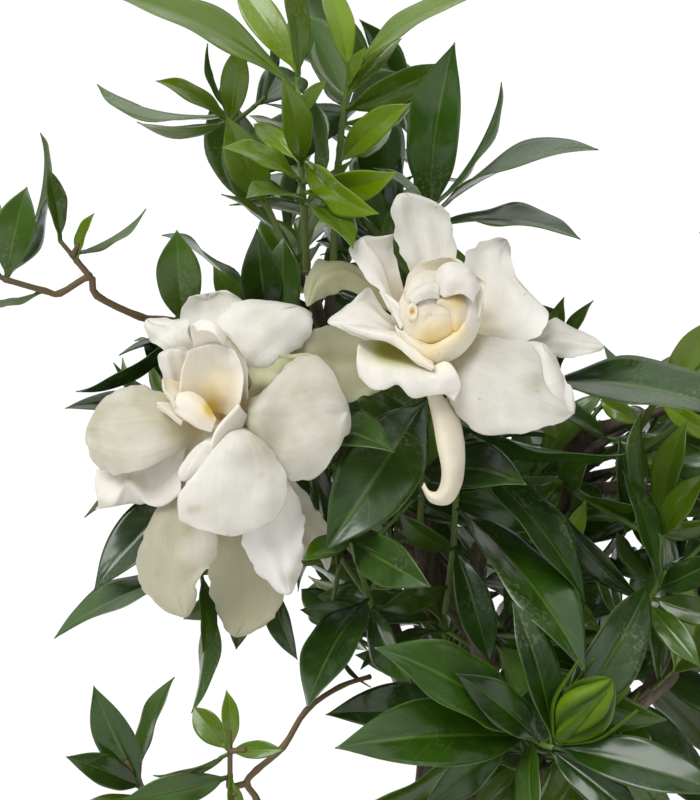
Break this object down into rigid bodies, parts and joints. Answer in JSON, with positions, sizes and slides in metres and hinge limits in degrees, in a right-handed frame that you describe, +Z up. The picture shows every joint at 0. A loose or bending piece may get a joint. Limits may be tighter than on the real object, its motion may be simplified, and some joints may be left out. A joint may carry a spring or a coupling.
{
  "type": "potted gardenia",
  "caption": "Gardenia shrub in flower in a round terracotta pot, with glossy leafy shoots on a woody trunk, double white blooms and a green flower bud.",
  "frame": {"origin": "middle of the pot's flat underside", "axes": "+Z up along the pot's axis, -Y towards the viewer of the picture, +X to the viewer's right"},
  "size_m": [0.3449, 0.2904, 0.4896],
  "materials": {
    "terracotta": "matt unglazed fired clay",
    "potting_soil": "matt crumbly potting soil",
    "bark": "matt grey-brown bark",
    "leaf": "glossy waxy dark green leaf",
    "young_leaf": "glossy waxy yellow-green leaf",
    "petals": "soft satin cream-white petal",
    "bud_green": "smooth satin lime-green bud"
  },
  "bodies": {
    "root": {"pot": "terracotta", "soil": "potting_soil", "wood": "bark", "bloom_right": "petals", "bloom_left": "petals", "flower_bud": "bud_green", "shoot_top_left": "leaf", "shoot_top_middle": "leaf", "shoot_top_right": "young_leaf", "shoot_crown_right": "leaf", "shoot_left_upper": "leaf", "shoot_left_twig": "leaf", "shoot_lower_left": "leaf", "shoot_lower_left_tip": "leaf", "shoot_under_left": "leaf", "shoot_behind_left": "leaf", "shoot_bloom_left": "leaf", "shoot_bloom_right": "leaf", "shoot_right_middle": "leaf", "shoot_middle": "leaf", "shoot_bud": "leaf", "shoot_right_edge": "leaf", "shoot_right_high": "leaf", "shoot_right_shoulder": "leaf", "shoot_right_tip": "young_leaf", "leafy_shoot_01": "leaf", "leafy_shoot_02": "leaf", "leafy_shoot_03": "leaf", "leafy_shoot_04": "leaf", "leafy_shoot_05": "leaf", "leafy_shoot_06": "leaf", "leafy_shoot_07": "leaf", "leafy_shoot_08": "leaf", "leafy_shoot_09": "leaf", "leafy_shoot_10": "leaf", "leafy_shoot_11": "leaf", "leafy_shoot_12": "leaf", "leafy_shoot_13": "leaf", "leafy_shoot_14": "leaf", "leafy_shoot_15": "leaf", "leafy_shoot_16": "leaf", "leafy_shoot_17": "leaf", "leafy_shoot_18": "leaf", "leafy_shoot_19": "leaf", "leafy_shoot_20": "leaf", "leafy_shoot_21": "leaf", "leafy_shoot_22": "leaf", "leafy_shoot_23": "leaf", "leafy_shoot_24": "leaf", "leafy_shoot_25": "leaf"}
  },
  "joints": []
}
